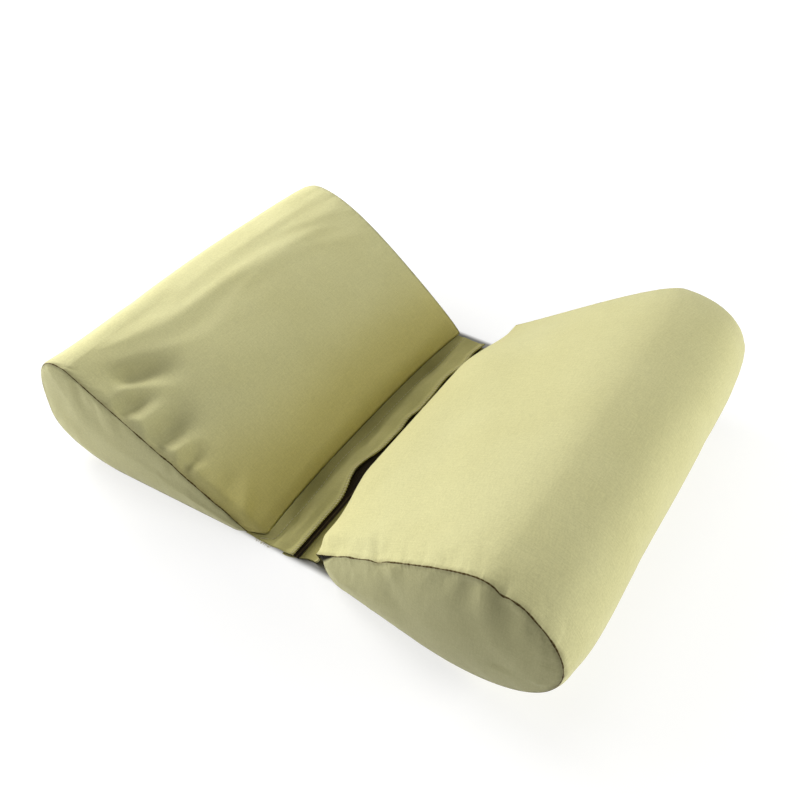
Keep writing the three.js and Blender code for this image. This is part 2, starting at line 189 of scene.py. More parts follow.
# Ripples in its free edge: the middle's y, how high it rises, how far it draws in, and its half width.
RIPPLES = [
    (-58, 3.2, 0, 14), (-45, 0.6, 6.8, 22), (-8, 3.0, 0, 12),
    (16, 2.6, 1, 11), (78, 3.4, 0, 18), (112, 0.8, 3, 14),
]
RIGHT_FLAP = Facts(run=6.5, flat_share=0.5, seat_out=0.6, seat_below=0.5)
RIGHT_FLAP_FRONT = Facts(back=6.0, start=-8.0, stop=12.0, length=9.0)
FLAP_STEPS = Facts(across=44, along=240)
HOOK_STEPS = Facts(across=16, along=160)
HEM = Facts(from_edge=17.0, step=0.5, until=-92.0, fades=20.0)
# Keeps the sheets' free edges out of the seams' shade.
EDGE_OFFSET = 10.0
THINNEST_RIM = 0.25

THREAD = Facts(radius=0.2, sides=6)
TOPSTITCH = Facts(pitch=3.4, length=2.6, share=0.27)
EDGE_STITCH = Facts(pitch=2.3, inside=2.7, lean=1.1)
FRAYS = Facts(count=26, x_from=-33.0, x_to=-19.0, length=2.4, radius=0.13)
HOOKS = Facts(pitch=1.4, height=0.6, radius=0.13, margin=3.6, sides=5)

# Materials, in metres.
WEAVE_PITCH = 0.00062
YARN_SCALES = Facts(across=1400, along=90)
STITCH_PITCH = 0.0032
HEM_STITCH = Facts(pitch=0.0023, away=0.0119, half=0.0005)
# Seams: a dark line of stitching with painted shade in its groove, and a painted shadow beside it.
SEAM_LINE = Facts(full=0.0002, gone=0.0007, ragged=0.0002)
SEAM_SHADOW = Facts(width=0.0036, least=0.08, most=0.42)
SEAM_PULLS = 0.006
SEAM_DARK = (0.07, 0.042, 0.008)
# Painted shade in the gaps below the front seams near the tips.
GAP_PAINTED_SHADE = (0.01, 0.007, 0.004)
# The end panels get painted shade, most of all by the right one's fat side. Cloth low in the trough is
# painted a little yellower, as warm bounce light.
PANEL_PAINTED_SHADE = {"left_wedge": (0.65, -0.1), "right_wedge": (0.0, 1.5)}
PAINTED_SHADE_STRENGTH = 0.3
BOUNCE_LIGHT_FOOT = {"left_wedge": 1.0, "right_wedge": 0.25}
BOUNCE_LIGHT_HEIGHTS = (8.0, 62.0)
BOUNCE_LIGHT_TINT = (1.0, 0.93, 0.62)
WEDGE_COLOURS = ((0.63, 0.605, 0.325), (0.605, 0.578, 0.3))
# The flaps are the wedges' cloth, painted darker as shade in the trough and warmer as bounce light.
FLAP_SHADED_COLOURS = ((0.46, 0.427, 0.178), (0.36, 0.335, 0.13))
HOOK_COLOURS = ((0.014, 0.009, 0.006), (0.045, 0.028, 0.016))
HOOK_EDGE = Facts(at=0.0099, full=0.0002, gone=0.0005, share=0.75, colour=(0.13, 0.085, 0.045))
RIB_PITCH = 0.0011
THREAD_COLOURS = ((0.5, 0.46, 0.27), (0.66, 0.62, 0.4))


def to_frame(points):
    """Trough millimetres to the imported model's metres."""
    return (np.asarray(points, float) + TROUGH_MIDDLE) * MM


def ease(value, start, stop):
    """0 up to start, 1 from stop, and smoothly between them."""
    t = np.clip((np.asarray(value, float) - start) / (stop - start), 0.0, 1.0)
    return t * t * (3 - 2 * t)


def middle_weight(k, sharpness):
    return 1 - np.abs(2 * k - 1) ** sharpness


def hump(distance, half_width):
    """1 in the middle, 0 from two half widths away."""
    share = np.clip(np.abs(distance) / (2 * half_width), 0, 1)
    return np.cos(share * math.pi / 2) ** 3


def wave(value, seed):
    """A soft uneven ripple about 0, the same on each run."""
    parts = ((1.0, 0.0, 0.5), (1.73, 2.1, 0.3), (2.61, 4.4, 0.2))
    return sum(size * np.sin(value * pace + phase + seed * (1 + pace)) for pace, phase, size in parts)


def stations(count):
    """Shares of a length, closer together towards both ends."""
    t = np.arange(count + 1) / count
    return END_SPACING * t + (1 - END_SPACING) * (0.5 - 0.5 * np.cos(math.pi * t))


def run_along(points, closed=False):
    """The distance from the first point to each point."""
    if closed:
        points = np.vstack((points, points[:1]))
    return np.append(0, np.cumsum(norm(np.diff(points, axis=0), axis=1)))


def normals_of(step):
    """Unit normals of a line in a plane, to the left of its steps."""
    normals = np.stack((-step[:, 1], step[:, 0]), axis=1)
    return normals / norm(normals, axis=1)[:, None]


# Wedge sections

def bezier(start, first, second, end, steps):
    t = np.linspace(0, 1, steps, endpoint=False)[:, None]
    r = 1 - t
    return r ** 3 * start + 3 * r ** 2 * t * first + 3 * r * t ** 2 * second + t ** 3 * end


def puff_weight(puff, k):
    early, at_back = puff.early, puff.at_back
    front = early * ease(k, 0, puff.early_by)
    front += (1 - early) * ease(k, puff.comes_from, puff.comes)
    return front * (at_back + (1 - at_back) * ease(1 - k, 0, puff.goes))


def wedge_section(wedge, k, finer=1):
    """The outline at one station, tip first, over the slope, down the outer side and back underneath."""
    growth = wedge.swell * middle_weight(k, wedge.swell_sharpness)
    scale = np.array((1 + growth * SWELL_ACROSS, 1 + growth))
    angle = math.radians(wedge.slope_angle)
    draw = wedge.tip_draw * middle_weight(k, DRAW_SHARPNESS)
    draw = draw + wedge.front_tuck * math.exp(-((k / TUCK_LENGTH) ** 2))
    top_at, height = wedge.top_at, wedge.height
    width, bulge = wedge.width, wedge.bulge_height
    base_from, base_to = draw + wedge.base_from, wedge.base_to
    tip, start = (draw, wedge.tip_height), wedge.slope_start * top_at
    ridge = wedge.slope_end + wedge.ridge_round * ease(k, 0, RIDGE_ROUND_BY)
    # Each curve has its steps, its start and two handles, and ends where the next one starts.
    curves = (
        (STEPS.slope, tip, (draw + start * math.cos(angle), wedge.tip_height + start * math.sin(angle)),
         (top_at * (1 - ridge), height)),
        (STEPS.shoulder, (top_at, height), (top_at + wedge.shoulder_out * (width - top_at), height),
         (width, bulge + wedge.shoulder_down * (height - bulge))),
        (STEPS.side, (width, bulge), (width, HANDLES.side * bulge),
         (base_to + HANDLES.base * (width - base_to), 0)),
        (STEPS.base, (base_to, 0), ((2 * base_to + base_from) / 3, 0), ((base_to + 2 * base_from) / 3, 0)),
        (STEPS.under_tip, (base_from, 0), (draw + HANDLES.under_tip * wedge.base_from, 0),
         (draw + HANDLES.tip * wedge.base_from, wedge.tip_height)))
    ends = [curve[1] for curve in curves[1:]] + [tip]
    section = scale * np.vstack([
        bezier(*points, end, steps * finer) for (steps, *points), end in zip(curves, ends)])
    puff, ear = wedge.puff, wedge.ear
    count = STEPS.slope * finer
    share = (np.arange(count) / count) ** (math.log(0.5) / math.log(puff.at))
    reach = puff.reach * puff_weight(puff, k) * np.sin(math.pi * share) ** puff.sharpness
    direction = math.radians(puff.direction)
    section[:count] += reach[:, None] * np.array((math.cos(direction), math.sin(direction)))
    near = np.exp(-((section[:, 0] - ear.at) / ear.width) ** 2) * math.exp(-k / EAR.length)
    section[:, 1] += ear.rise * near * ease(section[:, 1], EAR.start, EAR.stop)
    return section


def wedge_ends(wedge, u):
    share = np.clip(u / wedge.width, 0, 1)
    return wedge.front - wedge.front_flare * share, wedge.back + wedge.back_flare * share


def turn_wedge(wedge, across, up, along, start=0.0):
    """A direction in a wedge's own section, turned to the trough's frame, from a start along X."""
    angle = math.radians(wedge.turn)
    x = wedge.side * across
    return np.stack((
        start + x * math.cos(angle) - along * math.sin(angle),
        x * math.sin(angle) + along * math.cos(angle), up), axis=-1)


def place_wedge(wedge, u, v, y):
    """From a wedge's own section to the trough's frame."""
    return turn_wedge(wedge, u, v, y, wedge.tip_x)


def freedom(section, finer):
    """1 where the wrap may move, 0 at the tip line and on the flat base."""
    index = np.arange(len(section)) / finer
    free = ease(section[:, 0], -WRAP_FREE.above_tip, WRAP_FREE.above_tip)
    free *= ease(section[:, 1], 0, WRAP_FREE.above_base) * ease(index, 0, WRAP_FREE.steps)
    free[FLAT_FROM * finer:] = 0
    return free


def wrap_row(wedge, k, finer):
    """One loop of the wrap: its section with the roll beside the seams, its normals and its places."""
    section = wedge_section(wedge, k, finer)
    normals = normals_of(np.roll(section, -1, axis=0) - np.roll(section, 1, axis=0))
    front, back = wedge_ends(wedge, section[:, 0])
    y = front + (back - front) * k
    free = freedom(section, finer)
    from_seam = np.minimum(y - front, back - y)
    roll = SEAM_ROLL.height * free * (1 - np.exp(-from_seam / SEAM_ROLL.width))
    spots = section + normals * roll[:, None]
    points = place_wedge(wedge, spots[:, 0], spots[:, 1], y)
    return Facts(section=section, normals=normals, free=free, y=y, from_front=y - front,
                from_seam=from_seam, points=points)


def distance_to_outline(places, outline):
    """Distance of each place to the closed outline, and how far round the outline that is."""
    run = np.roll(outline, -1, axis=0) - outline
    length = np.maximum(norm(run, axis=1), 1e-9)
    reached = run_along(outline, closed=True)
    offset = places[:, None] - outline
    t = np.clip((offset * run).sum(2) / length ** 2, 0, 1)
    gap = norm(offset - t[..., None] * run, axis=2)
    index, nearest = np.arange(len(places)), gap.argmin(1)
    return gap[index, nearest], reached[nearest] + t[index, nearest] * length[nearest]


def panel_grid(wedge, shares, end, finer):
    """An end panel: places in the section's plane, from the upper to the lower seam, and their bulge."""
    section = wedge_section(wedge, 0.0 if end < 0 else 1.0, finer)
    half = HALF * finer
    upper, lower = section[1:half], section[:half:-1]
    places = (upper[:, None] + (lower - upper)[:, None] * shares[None, :, None]).reshape(-1, 2)
    distance, around = distance_to_outline(places, section)
    bulge = wedge.crown * (1 - np.exp(-distance / PANEL_BULGE_WIDTH))
    front, back = wedge_ends(wedge, places[:, 0])
    y = front - bulge if end < 0 else back + bulge
    return Facts(places=places, distance=distance, around=around,
                points=place_wedge(wedge, places[:, 0], places[:, 1], y))


# Meshes

def quads(rows, size, here, after):
    """Faces between rows of points of this size, from the places here to the ones after them."""
    return [
        (low + a, low + b, low + size + b, low + size + a)
        for low in range(0, rows * size, size) for a, b in zip(here, after)]


def wedge_faces(rows, panel_rows, finer):
    """Faces of a wedge and their texture corners.

    Points run: the wrap's rows, the front panel, the back panel. Texture corners do the same, but a row of
    them has one more, so that the texture doesn't run backwards where the loop closes.
    """
    half = HALF * finer
    loop = 2 * half
    faces = quads(rows, loop, range(loop), [*range(1, loop), 0])
    corners = quads(rows, loop + 1, range(loop), range(1, loop + 1))

    def spot(i, j, end, length):
        """The number of a panel's point or corner, where the wrap's rows have this length."""
        if i in (0, half) or j == 0:
            return end * rows * length + i
        if j == panel_rows:
            return end * rows * length + loop - i
        return (rows + 1) * length + (end * (half - 1) + i - 1) * (panel_rows - 1) + j - 1

    for end in (0, 1):
        for i in range(half):
            for j in range(panel_rows):
                square = [(i, j), (i, j + 1), (i + 1, j + 1), (i + 1, j)]
                face = [spot(*place, end, loop) for place in square]
                corner = [spot(*place, end, loop + 1) for place in square]
                keep = [n for n, p in enumerate(face) if p not in face[:n]]
                if end:
                    keep = keep[::-1]
                faces.append(tuple(face[n] for n in keep))
                corners.append(tuple(corner[n] for n in keep))
    return faces, corners


def new_mesh_object(name, points, faces, corners=None, uv_layers=()):
    """A smooth mesh object. uv_layers pairs a layer's name with a texture place for each corner number."""
    mesh = bpy.data.meshes.new(name)
    mesh.from_pydata([tuple(p) for p in points], [], faces)
    if uv_layers:
        index = [c for corner in corners for c in corner]
        for layer_name, places in uv_layers:
            layer = mesh.uv_layers.new(name=layer_name)
            layer.data.foreach_set("uv", np.asarray(places, np.float32)[index].ravel())
    mesh.shade_smooth()
    piece = bpy.data.objects.new(name, mesh)
    bpy.context.scene.collection.objects.link(piece)
    return piece


# Filling the covers

def fill_with_pressure(points, faces, held):
    """How far each point moves, in metres, when the closed cover is filled. Held points stay."""
    trial = new_mesh_object("filling_trial", points, faces)
    group = trial.vertex_groups.new(name="held")
    group.add(np.nonzero(held > 0)[0].tolist(), 1.0, "REPLACE")
    cloth = trial.modifiers.new("fill", "CLOTH")
    for setting, value in SIM_CLOTH.items():
        setattr(cloth.settings, setting, value)
    cloth.settings.vertex_group_mass = "held"
    cloth.settings.effector_weights.gravity = 0
    cloth.point_cache.frame_start = 1
    cloth.point_cache.frame_end = SIM.frames
    scene = bpy.context.scene
    for number in range(1, SIM.frames + 1):
        scene.frame_set(number)
    filled = trial.evaluated_get(bpy.context.evaluated_depsgraph_get())
    after = np.empty(len(points) * 3)
    filled.data.vertices.foreach_get("co", after)
    bpy.data.objects.remove(trial)
    scene.frame_set(1)
    return after.reshape(-1, 3) - points


def soften(field, spread, closed):
    """Averages a grid of vectors three times along both directions. Its edges keep their values."""
    size = 2 * spread + 1
    pad = [(spread, spread)] + [(0, 0)] * (field.ndim - 1)
    for axis in (0, 1) * 3:
        mode = dict(mode="wrap") if axis and closed else dict(mode="reflect", reflect_type="odd")
        total = np.cumsum(np.pad(np.moveaxis(field, axis, 0), pad, **mode), axis=0)
        total = np.concatenate((np.zeros_like(total[:1]), total))
        field = np.moveaxis((total[size:] - total[:-size]) / size, 0, axis)
    return field


def resample(field, old_shares, new_shares, axis):
    """Linear interpolation of a grid of vectors along one axis."""
    place = np.interp(new_shares, old_shares, np.arange(len(old_shares)))
    low = np.clip(np.floor(place).astype(int), 0, len(old_shares) - 2)
    rows = np.moveaxis(field, axis, 0)
    part = (place - low).reshape([-1] + [1] * (field.ndim - 1))
    return np.moveaxis(rows[low] * (1 - part) + rows[low + 1] * part, 0, axis)


def only_folds(move, closed):
    """The folds of a filled surface, without its broad swelling, and no more than the cap."""
    folds = SIM.share * (move - soften(move, SIM.broad, closed))
    length = norm(folds, axis=-1, keepdims=True)
    return folds * np.minimum(1, SIM.cap / np.maximum(length, 1e-9))


def filling_folds(wedge, rows_k, panel_shares):
    """What filling the cover adds to the wrap and to both end panels, on the fine mesh."""
    half, loop = HALF * FINER, 2 * HALF
    sim_k = np.linspace(0, 1, SIM_WRAP_ROWS + 1)
    sim_shares = np.linspace(0, 1, SIM_PANEL_ROWS + 1)
    wrap = np.array([wrap_row(wedge, k, 1).points for k in sim_k])
    panels = [panel_grid(wedge, sim_shares[1:-1], end, 1).points for end in (-1, 1)]
    points = np.vstack([wrap.reshape(-1, 3)] + panels)
    count, size = len(sim_k) * loop, len(panels[0])
    held = np.zeros(len(points))
    grid = held[:count].reshape(len(sim_k), loop)
    grid[[0, -1]] = 1
    grid[:, 0] = 1
    grid[:, FLAT_FROM:] = 1
    faces, _ = wedge_faces(SIM_WRAP_ROWS, SIM_PANEL_ROWS, 1)
    moved = fill_with_pressure(to_frame(points), faces, held) / MM
    folds = only_folds(moved[:count].reshape(wrap.shape), True)
    folds = resample(folds, sim_k, rows_k, 0)
    folds = np.concatenate((folds, folds[:, :1]), axis=1)
    folds = resample(folds, np.arange(loop + 1), np.arange(loop * FINER) / FINER, 1)
    results = [soften(folds, 1, True)]
    columns = np.arange(1, half) / FINER
    for part in (moved[count:count + size], moved[count + size:]):
        field = np.zeros((HALF + 1, SIM_PANEL_ROWS + 1, 3))
        field[1:-1, 1:-1] = part.reshape(HALF - 1, SIM_PANEL_ROWS - 1, 3)
        field = resample(only_folds(field, False), sim_shares, panel_shares, 1)
        results.append(resample(field, np.arange(HALF + 1), columns, 0))
    return results


# Relief of the covers

def pucker_rise(rows, u, from_seam):
    rise = np.zeros_like(u)
    for start_u, start_away, end_u, end_away, width, height in rows:
        run = np.array((end_u - start_u, end_away - start_away), float)
        length = norm(run)
        across, away = u - start_u, from_seam - start_away
        share = (across * run[0] + away * run[1]) / length ** 2
        aside = (across * run[1] - away * run[0]) / length
        fade = ease(share, *PUCKER_FADE.comes) * (1 - ease(share, *PUCKER_FADE.goes))
        fade *= ease(from_seam, 0, PUCKER_FADE.from_seam)
        rise += height * fade * hump(aside, width * (0.75 + 0.5 * np.clip(share, 0, 1)))
    return rise


def gather_rise(rows, u, from_seam):
    rise = np.zeros_like(u)
    for start_u, reach, width, height in rows:
        share = from_seam / reach
        fade = ease(share, 0, 0.2) * (1 - ease(share, 0.3, 1))
        rise += height * fade * hump(u - start_u, width * (0.8 + 0.5 * share))
    return rise


def seam_kink(name, section, k):
    """How far the front seam strays up, with what lies beside it."""
    rise = np.zeros(len(section))
    for u, amount, width in SEAM_KINKS[name]:
        rise += amount * hump(section[:, 0] - u, width)
    rise[HALF * FINER:] = 0
    return rise * math.exp(-k / KINK_LENGTH)


def beside_seam(distance):
    return np.exp(-distance / PLEATS.reach) * (1 - np.exp(-distance / PLEATS.start))


def wrap_relief(name, row, along, k):
    """How far the wrap stands out of its smooth section at one station."""
    section, free, y, from_seam = row.section, row.free, row.y, row.from_seam
    rise = np.zeros(len(section))
    rise[SLOPE] += pucker_rise(PUCKERS[name], section[SLOPE, 0], row.from_front[SLOPE])
    pleats = wave(along / PLEATS.wrap_length + (3.0 if k > 0.5 else 0.0), WEDGES[name].side)
    rise += free * beside_seam(from_seam) * PLEATS.wrap * pleats
    rise += free * ease(from_seam, 0, UNEVEN.wrap_from_seam) * UNEVEN.wrap * (
        wave(along / 21.0 + 0.6 * np.sin(y / 40.0), 1.3) * np.cos(y / 33.0 + along / 60.0))
    return rise + seam_kink(name, section, k)


def crease_painted_shade(name, row):
    """How much painted shade darkens the cloth in the puckers, on the side towards the ridge."""
    shaded = np.zeros(len(row.section))
    lower = row.section[SLOPE, 0] - CREASE_SHADE.aside
    depth = -pucker_rise(PUCKERS[name], lower, row.from_front[SLOPE])
    shaded[SLOPE] = CREASE_SHADE.share * np.clip(depth / CREASE_SHADE.full_depth, 0, 1)
    return shaded


def seam_gap(name, grid, end):
    """How fully each place of an end panel lies in the painted-shade gap below the front seam's tip end, 0
    to 1.
    """
    u, v = grid.places.T
    gap = SEAM_GAPS[name]
    below = gap.below * np.clip((gap.stop - u) / (gap.stop - gap.start), 0, 1)
    upper = v > WEDGES[name].tip_height * 0.55 + 0.3 * u
    inside = 1 - ease(grid.distance / np.maximum(below, 1e-3), 0.6, 1.15)
    return inside * (upper & (end < 0)) * ease(gap.stop - u, 0, 1)


def panel_relief(name, grid, end):
    """How far an end panel stands out of its smooth bulge."""
    u, v = grid.places.T
    distance = grid.distance
    pleats = wave(grid.around / PLEATS.panel_length + end, 2.2)
    rise = PLEATS.panel * beside_seam(distance) * pleats
    broad = ease(distance, *UNEVEN.panel_from_seam)
    rise += UNEVEN.panel * broad * wave(u / 16.0 + v / 30.0, 0.4 + end)
    if end < 0:
        upper = v > np.interp(u, (0, WEDGES[name].width), (0, WEDGES[name].height * 0.5))
        rise += np.where(upper, gather_rise(GATHERS[name], u, distance), 0)
    return rise - SEAM_GAPS[name].depth * seam_gap(name, grid, end)


def tone_of(gap, painted_shade, bounce_light):
    """What the cloth's material reads at each point: painted shade in a gap, painted shade on the cloth,
    and painted warm bounce light.
    """
    return np.stack(np.broadcast_arrays(gap, painted_shade, bounce_light, 1.0), axis=1)


def make_wedge(name, wedge):
    half = HALF * FINER
    rows_k = stations(WRAP_ROWS)
    shares = stations(PANEL_ROWS)[1:-1]
    wrap_folds, front_folds, back_folds = filling_folds(wedge, rows_k, shares)
    points, cloth, seam_run, tone = [], [], [], []
    for k, folds in zip(rows_k, wrap_folds):
        row = wrap_row(wedge, k, FINER)
        along = run_along(row.section, closed=True)
        rise = wrap_relief(name, row, along[:-1], k)
        out = turn_wedge(wedge, *row.normals.T, np.zeros(len(rise)))
        points.append(row.points + out * rise[:, None] + folds * row.free[:, None])
        cloth.append(np.stack((along, np.append(row.y, row.y[0])), axis=1))
        seam_run.append(np.stack((along, np.append(row.from_seam, row.from_seam[0])), axis=1))
        # Painted warm bounce light low in the trough.
        bounce_light = BOUNCE_LIGHT_FOOT[name] * (1 - ease(row.section[:, 1], *BOUNCE_LIGHT_HEIGHTS))
        # Painted shade in the puckers.
        tone.append(tone_of(0.0, crease_painted_shade(name, row), bounce_light))
    kink = seam_kink(name, wedge_section(wedge, 0.0, FINER), 0.0)
    for end, folds in ((-1, front_folds), (1, back_folds)):
        grid = panel_grid(wedge, shares, end, FINER)
        rise = panel_relief(name, grid, end)
        spots = grid.points + turn_wedge(wedge, 0.0, 0.0, float(end)) * rise[:, None]
        if end < 0:
            columns = spots.reshape(half - 1, len(shares), 3)
            columns[:, :, 2] += kink[1:half, None] * np.exp(-shares[None] * 6)
        points.append(spots + folds.reshape(-1, 3))
        cloth.append(grid.places)
        seam_run.append(np.stack((grid.around, grid.distance), axis=1))
        # Painted shade on the end panels.
        panel_shade = np.interp(grid.places[:, 0], (0, wedge.width), PANEL_PAINTED_SHADE[name])
        tone.append(tone_of(seam_gap(name, grid, end), panel_shade, 0.0))
    points = np.vstack(points)
    points[:, 2] = np.maximum(points[:, 2], 0)
    faces, corners = wedge_faces(WRAP_ROWS, PANEL_ROWS, FINER)
    layers = (("cloth", np.vstack(cloth) * MM), ("seam_run", np.vstack(seam_run) * MM))
    cover = new_mesh_object(name + "_cover", to_frame(points), faces, corners, layers)
    colours = cover.data.attributes.new("tone", "FLOAT_COLOR", "POINT")
    colours.data.foreach_set("color", np.vstack(tone).ravel())
    return cover


# Flaps and hook strip

def tip_at(wedge, y):
    k = min(max((y - wedge.front) / (wedge.back - wedge.front), 0), 1)
    u, v = wedge_section(wedge, k)[0]
    x, _, z = place_wedge(wedge, u, v, y)
    return x, z


def drifted(line, y):
    return line.x + line.drift * (y - FLAPS_FRONT) / (FLAPS_BACK - FLAPS_FRONT)


def left_flap_line(y, shares):
    flap, free_edge = LEFT_FLAP, LEFT_FLAP_EDGE
    tip_x, _ = tip_at(WEDGES["left_wedge"], y)
    edge = drifted(free_edge, y)
    edge += free_edge.back_reach * ease(y, free_edge.reach_from, free_edge.reach_to)
    lift = 0.0
    for middle, rise, inward, width in RIPPLES:
        weight = hump(y - middle, width)
        edge -= inward * weight
        lift += rise * weight
    droop = math.exp(-((y - FLAPS_FRONT) / flap.droop_length) ** 2)
    start = tip_x + GAP - flap.tucked * droop
    x = start + (edge - start) * shares
    at_tip = flap.at_tip - flap.droop * droop
    up = drifted(HOOK_STRIP, y) - flap.up_before
    fall = flap.fall_share + flap.fall_varies * wave(y / flap.fall_length, 0.9)
    climb = flap.climb_run + flap.climb_varies * wave(y / flap.climb_length, 2.4)
    height = flap.valley + (at_tip - flap.valley) * (1 - ease(shares, 0, fall))
    height += (flap.on_strip - flap.valley) * ease(x, up - climb, up)
    height += flap.edge_rise * ease(shares, 0.8, 1) + lift * ease(shares, 0.3, 1)
    lumps = np.clip(0.4 + wave(y / flap.lump_length + 2.5 * shares, 5.2), 0, 1)
    lumps = lumps * np.sin(math.pi * shares) ** 2
    height += flap.lumps * lumps * (1 - ease(x, up - 8, up))
    hem_at = edge - HEM.from_edge
    hem = HEM.step * ease(-y, -HEM.until, HEM.fades - HEM.until)
    height += hem * ease(x, hem_at, hem_at + 0.8) * (1 - ease(x, up - 6, up))
    return np.stack((x, height), axis=1)


def right_flap_line(y, shares):
    tip_x, tip_z = tip_at(WEDGES["right_wedge"], y)
    rest = FLAP_THICKNESS / 2
    flap = RIGHT_FLAP
    edge = drifted(RIGHT_FLAP_EDGE, y)
    landing = tip_x - flap.seat_out - flap.run
    rise = tip_z - flap.seat_below - rest
    flat = np.clip(shares / flap.flat_share, 0, 1)
    turn = np.clip((shares - flap.flat_share) / (1 - flap.flat_share), 0, 1) * math.pi / 2
    x = edge + (landing - edge) * flat + flap.run * np.sin(turn)
    return np.stack((x, rest + rise * (1 - np.cos(turn))), axis=1)


def hook_line(y, shares):
    height = FLAP_THICKNESS + GAP + HOOK_THICKNESS / 2
    x = drifted(HOOK_STRIP, y) + HOOK_STRIP.width * shares
    return np.stack((x, np.full_like(x, height)), axis=1)


def sheet_mesh(line_at, thickness, inset, steps):
    """Points, faces and texture places of a sheet with rounded rims, about a middle line along Y."""
    front, back = FLAPS_FRONT + inset, FLAPS_BACK - inset
    shares, rows = stations(steps.across), stations(steps.along)
    across = len(shares)
    points, places = [], []
    for k in rows:
        y = front + (back - front) * k
        line = line_at(y, shares)
        normals = normals_of(np.gradient(line, axis=0))
        along = run_along(line)
        rim = np.minimum(along, along[-1] - along)
        end = min(k, 1 - k) * (back - front)
        round_rim = np.sqrt(1 - (1 - np.clip(rim / (thickness / 2), 0, 1)) ** 2)
        round_end = math.sqrt(1 - (1 - min(end / (thickness / 2), 1)) ** 2)
        half = 0.5 * thickness * np.maximum(round_rim * round_end, THINNEST_RIM)
        for face in (1, -1):
            spots = line + face * normals * half[:, None]
            points.append(np.stack((spots[:, 0], np.full(across, y), spots[:, 1]), axis=1))
            places.append(np.stack((along, np.full(across, y), along[-1] - along), axis=1))
    loop, last = 2 * across, len(rows) - 1
    ring = [*range(across), *range(loop - 1, across - 1, -1)]
    faces = quads(last, loop, ring, ring[1:] + ring[:1])
    for i in range(across - 1):
        faces.append((i, across + i, across + i + 1, i + 1))
        faces.append(tuple(last * loop + p for p in (i, i + 1, across + i + 1, across + i)))
    return np.vstack(points), faces, np.vstack(places)


def right_flap_mesh():
    """The right flap, with its front edge drawn back beside its wedge's tip."""
    points, faces, places = sheet_mesh(right_flap_line, FLAP_THICKNESS, 0.0, FLAP_STEPS)
    front = RIGHT_FLAP_FRONT
    near_front = np.exp(-(points[:, 1] - FLAPS_FRONT) / front.length)
    points[:, 1] += front.back * near_front * ease(points[:, 0], front.start, front.stop)
    return points, faces, places


def make_sheet(name, mesh_parts):
    points, faces, places = mesh_parts
    edge_run = places[:, 1:] + (0, EDGE_OFFSET)
    return new_mesh_object(name, to_frame(points), faces, faces,
                           (("cloth", places[:, :2] * MM), ("seam_run", edge_run * MM)))


# Threads and hooks

def tube(path, radius, sides):
    """A thin tube along a few points, closed at both ends."""
    path = np.asarray(path, float)
    run = np.gradient(path, axis=0)
    run /= norm(run, axis=1)[:, None]
    side = np.cross(run, (0.3, 0.2, 0.93))
    side /= np.maximum(norm(side, axis=1), 1e-6)[:, None]
    up = np.cross(run, side)
    turn = np.linspace(0, 2 * math.pi, sides, endpoint=False)
    ring = np.cos(turn)[None, :, None] * side[:, None] + np.sin(turn)[None, :, None] * up[:, None]
    points = (path[:, None] + radius * ring).reshape(-1, 3)
    faces = quads(len(path) - 1, sides, range(sides), [*range(1, sides), 0])
    last = len(points) - sides
    return points, faces + [tuple(range(sides))[::-1], tuple(range(last, len(points)))]


def join_tubes(paths, sides):
    """Tubes along paths that come with their radius, as the points and faces of one mesh."""
    points, faces, start = [], [], 0
    for path, radius in paths:
        tube_points, tube_faces = tube(path, radius, sides)
        points.append(tube_points)
        faces.extend(tuple(start + p for p in face) for face in tube_faces)
        start += len(tube_points)
    return np.vstack(points), faces


def flap_spot(y, share, lift):
    """A place on the left flap's upper face, raised by lift."""
    x, z = left_flap_line(y, np.array((share,)))[0]
    return (x, y, z + FLAP_THICKNESS / 2 + lift)


def flap_stitches():
    """The left flap's overlocked free edge, its topstitching and the frayed threads in front."""
    random = np.random.default_rng(7)
    paths = []
    start, stop = FLAPS_FRONT + 1.0, FLAPS_BACK - 1.0
    for y in np.arange(start, stop - EDGE_STITCH.pitch, EDGE_STITCH.pitch):
        width = left_flap_line(y, np.array((0.0, 1.0)))
        inside = 1 - EDGE_STITCH.inside / (width[1, 0] - width[0, 0])
        lean = EDGE_STITCH.lean * random.uniform(0.7, 1.3)
        x, z = width[1]
        path = [
            flap_spot(y, inside, -0.1), flap_spot(y + 0.3 * lean, 0.6 * inside + 0.4, 0.16),
            (x - 0.3, y + 0.8 * lean, z + 0.85), (x + 0.12, y + lean, z), (x - 0.7, y + lean, z - 0.95)]
        paths.append((path, THREAD.radius))
    for y in np.arange(start, stop - TOPSTITCH.pitch, TOPSTITCH.pitch):
        middle, end = y + TOPSTITCH.length / 2, y + TOPSTITCH.length
        places = ((y, -0.25), (y + 0.35, 0.08), (middle, 0.14), (end - 0.35, 0.08), (end, -0.25))
        paths.append(([flap_spot(place, TOPSTITCH.share, lift) for place, lift in places], THREAD.radius))
    for _ in range(FRAYS.count):
        x = random.uniform(FRAYS.x_from, FRAYS.x_to)
        y, z = FLAPS_FRONT + 0.1, random.uniform(1.6, 3.2)
        away = FRAYS.length * random.uniform(0.4, 1.0)
        aside = random.uniform(-1.2, 1.2)
        path = [(x, y, z), (x + 0.4 * aside, y - 0.5 * away, z + 0.3), (x + aside, y - away, z - 0.3)]
        paths.append((path, FRAYS.radius))
    return join_tubes(paths, THREAD.sides)


